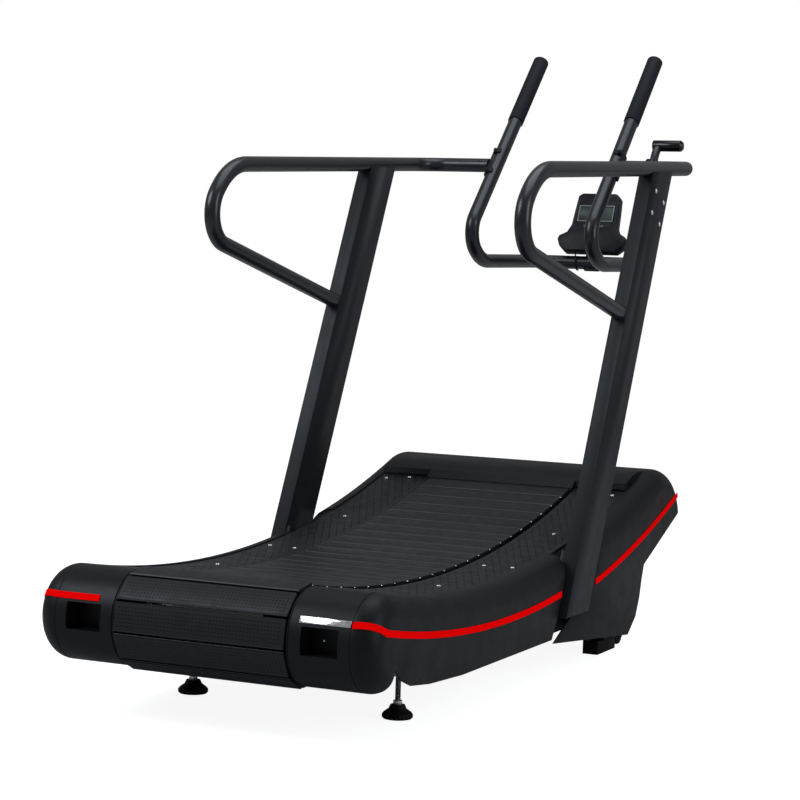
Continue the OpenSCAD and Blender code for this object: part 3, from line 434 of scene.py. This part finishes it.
def socket_head(bm, place, axis, r, h, sides=6):
    """Domed screw head with a sunk socket, as one closed skin."""
    x, y, z = basis(axis)
    segs = 24
    p = Vector(place)

    def ring(radius, height, polygon=False):
        out = []
        for i in range(segs):
            a = 2 * pi * i / segs
            k = radius
            if polygon:
                k = radius * cos(pi / sides) / cos((a % (2 * pi / sides)) - pi / sides)
            out.append(p + z * height + (x * cos(a) + y * sin(a)) * k)
        return out

    rings = [ring(r * 0.96, 0), ring(r, h * 0.2), ring(r * 0.94, h * 0.55), ring(r * 0.78, h * 0.86),
             ring(r * 0.56, h), ring(r * 0.44, h * 0.98, True), ring(r * 0.40, h * 0.35, True)]
    loft(bm, rings)


# ---------------------------------------------------------------- sizes shared with the frame

ARC_Y, ARC_Z, DECK_R = -0.460, 3.574, 3.300
BELT_R = 3.297
REAR_Y, REAR_R, FRONT_Y, FRONT_R = -1.044, 0.106, 0.500, 0.100
SLATS, SLAT_W, SLAT_T = 56, 0.062, 0.012
CAP_R = BELT_R + REAR_R - DECK_R
COVER_X, SHOULDER = 0.400, 0.050
STRIPE_W, STRIPE_REAR_R, STRIPE_FORE_R = 0.0145, 3.3805, 3.4098


def on_arc(r, y):
    return ARC_Z - sqrt(r * r - (y - ARC_Y) ** 2)


REAR_Z = on_arc(BELT_R + REAR_R, REAR_Y)
FRONT_Z = on_arc(BELT_R + FRONT_R, FRONT_Y)


def belt_path():
    """Yields the place and heading of a distance along the belt, from the rear over the top."""
    tan_rear = math.asin((ARC_Y - REAR_Y) / (BELT_R + REAR_R))
    tan_front = math.asin((FRONT_Y - ARC_Y) / (BELT_R + FRONT_R))
    dy, dz = FRONT_Y - REAR_Y, FRONT_Z - REAR_Z
    span = sqrt(dy * dy + dz * dz)
    under = math.atan2(dz, dy) + math.asin((REAR_R - FRONT_R) / span)
    top = BELT_R * (tan_rear + tan_front)
    front = FRONT_R * (pi + tan_front - under)
    flat = sqrt(span * span - (REAR_R - FRONT_R) ** 2)
    rear = REAR_R * (pi + tan_rear + under)
    total = top + front + flat + rear

    def at(s):
        if s < top:
            a = -tan_rear + s / BELT_R
            return ARC_Y + BELT_R * sin(a), ARC_Z - BELT_R * cos(a), a
        s -= top
        if s < front:
            a = tan_front - s / FRONT_R
            return FRONT_Y - FRONT_R * sin(a), FRONT_Z + FRONT_R * cos(a), a
        s -= front
        if s < flat:
            a = under - pi
            return FRONT_Y + FRONT_R * sin(under) + s * cos(a), FRONT_Z - FRONT_R * cos(under) + s * sin(a), a
        s -= flat
        a = under - pi - s / REAR_R
        return REAR_Y - REAR_R * sin(a), REAR_Z + REAR_R * cos(a), a

    return at, total


def slat_tread():
    """The slats, each with a chamfered dotted face, edges painted lighter as a painted highlight, and tapered
    sides.
    """
    at, total = belt_path()
    pitch = total / SLATS
    w = SLAT_W / 2
    half = [(w, -0.0032), (w - 0.0004, -0.0022), (w - 0.0026, -0.0002), (w - 0.0034, 0.0)]
    foot = [(w - 0.0045, -0.0085), (w - 0.006, -SLAT_T)]
    outline = [(-v, h) for v, h in foot[::-1]] + [(-v, h) for v, h in half]
    outline += [(v, h) for v, h in half[::-1]] + foot
    face = len(foot) + len(half) - 1
    edge = {len(foot) + 1, len(foot) + 1 + len(half) - 1 + len(half) - 2}
    bm = bmesh.new()
    uv = bm.loops.layers.uv.new("slat")
    for i in range(SLATS):
        y, z, a = at((i + 0.5) * pitch)
        ca, sa = cos(a), sin(a)
        rings = []
        spots = {}
        for x, pull in ((-0.2, 0.0012), (-0.1988, 0), (0.1988, 0), (0.2, 0.0012)):
            ring = []
            for v, h in outline:
                vv = v * (1 - pull / w)
                hh = h - pull if h > -0.006 else h + pull
                ring.append(Vector((x, y + vv * ca - hh * sa, z + vv * sa + hh * ca)))
            rings.append(ring)
        rows = loft(bm, rings, mat=1)
        for row, x in zip(rows, (-0.2, -0.1988, 0.1988, 0.2)):
            for vert, (v, h) in zip(row, outline):
                spots[vert] = (x, v)
        for row_a, row_b in zip(rows, rows[1:]):
            for k in range(len(outline)):
                f = next(g for g in row_a[k].link_faces
                         if row_a[(k + 1) % len(outline)] in g.verts and row_b[k] in g.verts)
                # The chamfer faces get the lighter edge material, a painted highlight; the top face gets the
                # dotted face.
                f.material_index = 0 if k == face else (2 if k in edge else 1)
                for loop in f.loops:
                    loop[uv].uv = spots[loop.vert]
    obj = add_piece("slat_tread", bm, "frame", "slat_face", "slat_body", "slat_edge_painted_highlight", angle=20)
    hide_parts("slats")


def slat_pins():
    """Bright pins at both ends of every joint between two slats."""
    at, total = belt_path()
    pitch = total / SLATS
    bm = bmesh.new()
    for i in range(SLATS):
        y, z, a = at(i * pitch)
        if abs(a) > radians(32):  # none on the wraps
            continue
        drop = 0.0030
        spot = (y + drop * sin(a), z - drop * cos(a))
        for side in (1, -1):
            turned(bm, (side * 0.1950, *spot), (side, 0, 0),
                   [(0.0008, 0), (0.0013, 0.0004), (0.0013, 0.0046), (0.0008, 0.0050)], 12)
    obj = add_piece("slat_pins", bm, "frame", "bolt_steel")


def ribbon(name, path, width, thick, body, mat):
    """Raised strip along a path of (place, outward normal)."""
    rings = []
    for i, (p, n) in enumerate(path):
        ahead = path[min(i + 1, len(path) - 1)][0] - path[max(i - 1, 0)][0]
        w = n.cross(ahead).normalized() * (width / 2)
        chamfer = w.normalized() * 0.0004
        rings.append([p - w, p + w, p + w + n * (thick - 0.0004), p + w - chamfer + n * thick,
                      p - w + chamfer + n * thick, p - w + n * (thick - 0.0004)])
    bm = bmesh.new()
    loft(bm, rings)
    obj = add_piece(name, bm, body, mat, angle=30)
    return obj


# uprights: width across, depth, lean, and the height and place of the top bar's axis on them
UP_X, UP_W, UP_D, UP_LEAN = 0.395, 0.036, 0.134, radians(25.37)
UP_TOP_Y, RAIL_Z, RAIL_PITCH = 0.389, 1.228, radians(2.1)


def up_rear(z):
    """Place of an upright's rear face at a height."""
    return UP_TOP_Y - (RAIL_Z - z) * tan(UP_LEAN)


# ends of the red strips at the slot round each upright
STRIP_GAP, SLOT_BEHIND, SLOT_AHEAD = 0.003, 0.026, 0.035
SLOT_REAR = up_rear(0.205) - SLOT_BEHIND - STRIP_GAP
SLOT_FORE = up_rear(0.235) + UP_D / cos(UP_LEAN) + SLOT_AHEAD + STRIP_GAP


def side_path(r, y0, y1, side, steps):
    out = []
    for i in range(steps + 1):
        y = y0 + (y1 - y0) * i / steps
        out.append((Vector((side * 0.4003, y, on_arc(r, y))), Vector((side, 0, 0))))
    return out


# red strips: lift off the cover, angle on the rear cap, and its change round the corner
STRIP_LIFT, STRIP_TURN, STRIP_RISE, STRIP_T = 0.0003, 28, 6.5, 0.0013
STRIP_REAR_Y, STRIP_FORE_Y = -1.080, 0.713


def stripes():
    """Red strips: round the rear corner and along each side, then on towards the nose."""
    for side, label, x0 in ((1, "right", 0.3465), (-1, "left", 0.243)):
        path = []
        for i in range(5):
            x = x0 + (COVER_X - SHOULDER - x0) * i / 4
            t = radians(STRIP_TURN)
            r = CAP_R + STRIP_LIFT
            path.append((Vector((side * x, REAR_Y - r * cos(t), REAR_Z + r * sin(t))),
                         Vector((0, -cos(t), sin(t)))))
        for i in range(1, 13):
            phi = radians(90 * i / 12)
            t = radians(STRIP_TURN + STRIP_RISE * i / 12)
            bend = SHOULDER + STRIP_LIFT
            r = CAP_R - SHOULDER + bend * cos(phi)
            x = COVER_X - SHOULDER + bend * sin(phi)
            path.append((Vector((side * x, REAR_Y - r * cos(t), REAR_Z + r * sin(t))),
                         Vector((side * sin(phi), -cos(phi) * cos(t), cos(phi) * sin(t)))))
        path += side_path(STRIPE_REAR_R, STRIP_REAR_Y, SLOT_REAR, side, 60)
        fore = side_path(STRIPE_FORE_R, SLOT_FORE, STRIP_FORE_Y, side, 30)
        if side < 0:
            path, fore = path[::-1], fore[::-1]
        rear = ribbon("stripe_" + label + "_rear", path, STRIPE_W, STRIP_T, "frame", "trim_red_painted_glow")
        ribbon("stripe_" + label + "_front", fore, STRIPE_W, STRIP_T, "frame", "trim_red_painted_glow")
        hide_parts("stripe_" + label)
    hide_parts("cap_trim_left")


RAIL_SCREWS = [(0.280, -0.570), (0.250, -0.245), (0.320, -0.240),
               (0.288, 0.103), (0.322, 0.418), (0.262, 0.436)]
RAIL_DROP = 0.003


def screws():
    """Dome screws of the step rails, and one in each hand pocket."""
    bm = bmesh.new()
    for side in (1, -1):
        for x, y in RAIL_SCREWS:
            a = math.asin((y - ARC_Y) / DECK_R)
            r = DECK_R + RAIL_DROP
            spot = (side * x, ARC_Y + r * sin(a), ARC_Z - r * cos(a))
            socket_head(bm, spot, (0, -sin(a), cos(a)), 0.0058, 0.0030, 4)
        socket_head(bm, (side * 0.262, -1.0912, 0.224), (0, -1, 0), 0.0032, 0.0018, 4)
    obj = add_piece("tread_screws", bm, "frame", "bolt_steel", angle=40)
    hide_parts("rail_screws")


def tube(bm, path, r, segs=40, closed=False):
    """Round tube along a path, its rings carried from one to the next without twist."""
    rings = []
    n = len(path)
    side = None
    for i, p in enumerate(path):
        back = path[i - 1] if closed or i else path[0]
        ahead = path[(i + 1) % n] if closed or i < n - 1 else path[-1]
        way = (ahead - back).normalized()
        side = way.orthogonal() if side is None else side - way * side.dot(way)
        side.normalize()
        up = way.cross(side)
        turns = [2 * pi * k / segs for k in range(segs)]
        rings.append([p + (side * cos(t) + up * sin(t)) * r for t in turns])
    if closed:
        rows = loft(bm, rings, caps=False)
        turn = min(range(segs), key=lambda k: (rows[0][k].co - rows[-1][0].co).length)
        for k in range(segs):
            a, b = (k + turn) % segs, (k + turn + 1) % segs
            bm.faces.new((rows[-1][k], rows[-1][(k + 1) % segs], rows[0][b], rows[0][a]))
        return rows
    return loft(bm, rings)


def arc(cy, cz, r, a0, a1, steps=24):
    """Points of an arc in the upright plane: angle 0 is below the centre, 90 in front of it."""
    turns = [radians(a0 + (a1 - a0) * i / steps) for i in range(steps + 1)]
    return [(cy + r * sin(a), cz - r * cos(a)) for a in turns]


TUBE_R, CLAMP_GAP = 0.019, 0.004

# horns: lean from upright, where their axis crosses the top bar's height, and their lower bends
HORN_X, HORN_LEAN, HORN_Y, HORN_TOP_Z = 0.172, 44.7, 0.744, 1.546
HORN_REAR_Y, HORN_1_R, HORN_BEND = 0.600, 0.060, 50
BAR_Y, BAR_Z, BAR_CORNER_R = 1.075, 0.978, 0.060

# handrail loops: rear end, first bend, and the brace down to the upright
CORNER_R, LOOP_REAR_Y, LOOP_1_R, LOOP_BEND = 0.075, -0.436, 0.190, 50
BRACE_Z, BRACE_DROP = 0.868, 13.5 + math.degrees(RAIL_PITCH)
LOOP_TURN = 180 + LOOP_BEND


def cross_place():
    """Distance along the top bar, from the upright, of the bar that runs across to the horns."""
    k = tan(RAIL_PITCH) * tan(radians(HORN_LEAN))
    return ((HORN_Y - UP_TOP_Y * k) / (1 - k) - UP_TOP_Y) / cos(RAIL_PITCH)


def loop_bends():
    """Centres and radius of the loop's two bends, the second one tangent to the brace.

    Places are (along, above) the top bar from the upright.
    """
    drop, turn = radians(BRACE_DROP), radians(LOOP_TURN)
    dy, dz = up_rear(BRACE_Z) - UP_TOP_Y, BRACE_Z - RAIL_Z
    brace_u = dy * cos(RAIL_PITCH) + dz * sin(RAIL_PITCH)
    brace_v = dz * cos(RAIL_PITCH) - dy * sin(RAIL_PITCH)

    def second(r):
        return LOOP_REAR_Y - UP_TOP_Y + r, -LOOP_1_R - (LOOP_1_R - r) * cos(turn)

    def miss(r):
        u, v = second(r)
        return -(u - brace_u) * sin(drop) - (v - brace_v) * cos(drop) + r

    r = -miss(0) / (miss(1) - miss(0))
    u, v = second(r)
    first = (u - (LOOP_1_R - r) * sin(turn), -LOOP_1_R)
    length = (brace_u - u + r * sin(drop)) * cos(drop) - (brace_v - v + r * cos(drop)) * sin(drop)
    return first, (u, v), r, length


def handrails():
    """Each handrail as one bent tube, with a weld bead where its brace meets the upright."""
    def place(side, x, u, v):
        y = UP_TOP_Y + u * cos(RAIL_PITCH) - v * sin(RAIL_PITCH)
        return Vector((side * (UP_X + x), y, RAIL_Z + u * sin(RAIL_PITCH) + v * cos(RAIL_PITCH)))

    cross = cross_place()
    loop_1, loop_2, loop_2_r, brace = loop_bends()
    for side, label in ((1, "right"), (-1, "left")):
        path = [place(side, HORN_X + TUBE_R + CLAMP_GAP - UP_X, cross, 0)]
        for i in range(17):
            t = radians(90 - 90 * i / 16)
            path.append(place(side, CORNER_R * (cos(t) - 1), cross + CORNER_R * (sin(t) - 1), 0))
        turn = arc(*loop_1, LOOP_1_R, 180, LOOP_TURN)
        turn += arc(*loop_2, loop_2_r, LOOP_TURN, 360 - BRACE_DROP)[1:]
        path += [place(side, 0, u, v) for u, v in turn]
        drop = radians(BRACE_DROP)
        u, v = turn[-1]
        path.append(place(side, 0, u + brace * cos(drop), v - brace * sin(drop)))
        way = (path[-1] - path[-2]).normalized()
        bm = bmesh.new()
        last = tube(bm, path, TUBE_R)[-1]
        rear = Vector((0, cos(UP_LEAN), -sin(UP_LEAN)))
        face = Vector((0, UP_TOP_Y, RAIL_Z))
        for vert in last:
            vert.co -= way * ((vert.co - face).dot(rear) + 0.0003) / way.dot(rear)
        rim = [vert.co.copy() for vert in last]
        rail = add_piece("handrail_tube_" + label, bm, "frame", "tube_paint")
        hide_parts("handrail_" + label)
        bm = bmesh.new()
        tube(bm, [p - rear * 0.0006 for p in rim], 0.0020, 10, closed=True)
        weld = add_piece("brace_weld_" + label, bm, "frame", "weld")


def horns():
    """The horn bar as one bent tube from the top of one horn to the top of the other."""
    lean, bend = radians(HORN_LEAN), radians(HORN_BEND)
    top_y = HORN_Y + (HORN_TOP_Z - RAIL_Z) * tan(lean)
    y1 = HORN_REAR_Y + HORN_1_R
    z1 = RAIL_Z + (y1 - HORN_1_R / cos(lean) - HORN_Y) / tan(lean)
    r2 = (z1 - BAR_Z - HORN_1_R * sin(bend)) / (1 - sin(bend))
    y2, z2 = y1 - (HORN_1_R - r2) * cos(bend), z1 - (HORN_1_R - r2) * sin(bend)
    half = [Vector((HORN_X, top_y, HORN_TOP_Z))]
    turn = arc(y1, z1, HORN_1_R, 270 - HORN_LEAN, 270 + HORN_BEND)
    turn += arc(y2, z2, r2, 270 + HORN_BEND, 360)[1:]
    half += [Vector((HORN_X, y, z)) for y, z in turn]
    for i in range(17):
        t = radians(90 * i / 16)
        x = HORN_X - BAR_CORNER_R * (1 - cos(t))
        half.append(Vector((x, BAR_Y - BAR_CORNER_R * (1 - sin(t)), BAR_Z)))
    path = half + [Vector((-p.x, p.y, p.z)) for p in half[::-1]]
    bm = bmesh.new()
    tube(bm, path, TUBE_R)
    obj = add_piece("horn_tube", bm, "frame", "tube_paint")
    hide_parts("horn_bar")


# the nose cover's rear edge, and how far the skirts under it reach across
NOSE_EDGE = [(0.4525, 0.4192), (0.4535, 0.4165)]
BELT_SIDE, FLANK_IN, FLANK_OUT = 0.2065, 0.2085, 0.3445


def nose_lip():
    """Skirts from the rear edge of the nose cover down to the belt and to the flanks."""
    skirt = [(0.4275, 0.4003), *NOSE_EDGE, (0.4280, 0.3992)]
    flank = [(0.4495, 0.4040), *NOSE_EDGE, (0.4510, 0.4030)]
    bm = bmesh.new()
    loft(bm, [[Vector((x, y, z)) for y, z in skirt] for x in (-BELT_SIDE, BELT_SIDE)])
    for side in (1, -1):
        loft(bm, [[Vector((side * x, y, z)) for y, z in flank] for x in (FLANK_IN, FLANK_OUT)])
    add_piece("nose_lip", bm, "frame", "cover_plastic")


def wrap_guards():
    """Dark discs that close the narrow gap between the belt's ends and the rear caps."""
    bm = bmesh.new()
    for side in (1, -1):
        turned(bm, (side * 0.2015, REAR_Y, REAR_Z), (side, 0, 0),
               [(0.020, 0), (REAR_R - 0.005, 0), (REAR_R - 0.0035, 0.002), (REAR_R - 0.0035, 0.004),
                (REAR_R - 0.005, 0.006), (0.020, 0.006)], 96)
    add_piece("wrap_guards", bm, "frame", "slat_body")


def upright_heads():
    """Button-head bolts through the top of each upright."""
    bm = bmesh.new()
    z0 = RAIL_Z - 0.036
    x0 = UP_X + UP_W / 2 + 0.0002
    washer = [(0.0062, 0), (0.0064, 0.0004), (0.0062, 0.0009), (0.004, 0.0010)]
    for side in (1, -1):
        for u in (0.044, UP_D - 0.023):
            for v in (0.0, 0.061):
                y = up_rear(z0) + u * cos(UP_LEAN) - v * sin(UP_LEAN)
                z = z0 - u * sin(UP_LEAN) - v * cos(UP_LEAN)
                turned(bm, (side * x0, y, z), (side, 0, 0), washer, 32)
                socket_head(bm, (side * (x0 + 0.0010), y, z), (side, 0, 0), 0.0050, 0.0022)
    obj = add_piece("upright_bolt_heads", bm, "frame", "bolt_steel", angle=40)
    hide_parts("upright_bolts")


camera()
studio()
dress_nodes()
slat_tread()
slat_pins()
stripes()
screws()
handrails()
horns()
nose_lip()
wrap_guards()
upright_heads()

floor_mesh = bpy.data.meshes.new("floor")
floor_mesh.from_pydata([(-30, -30, 0), (30, -30, 0), (30, 30, 0), (-30, 30, 0)], [], [(0, 1, 2, 3)])
floor = bpy.data.objects.new("floor", floor_mesh)
bpy.context.scene.collection.objects.link(floor)
ground = Finish("ground", 0.9, Emission_Color=(1, 1, 1, 1))
seen = ground.node("ShaderNodeLightPath").outputs["Is Camera Ray"]
ground.put(ground.bsdf.inputs["Emission Strength"], ground.calc("MULTIPLY", seen, 0.9))
ground.done(ground.blend(ground.noise(0.4), (0.50, 0.50, 0.50), (0.53, 0.53, 0.53)))
floor_mesh.materials.append(ground.mat)
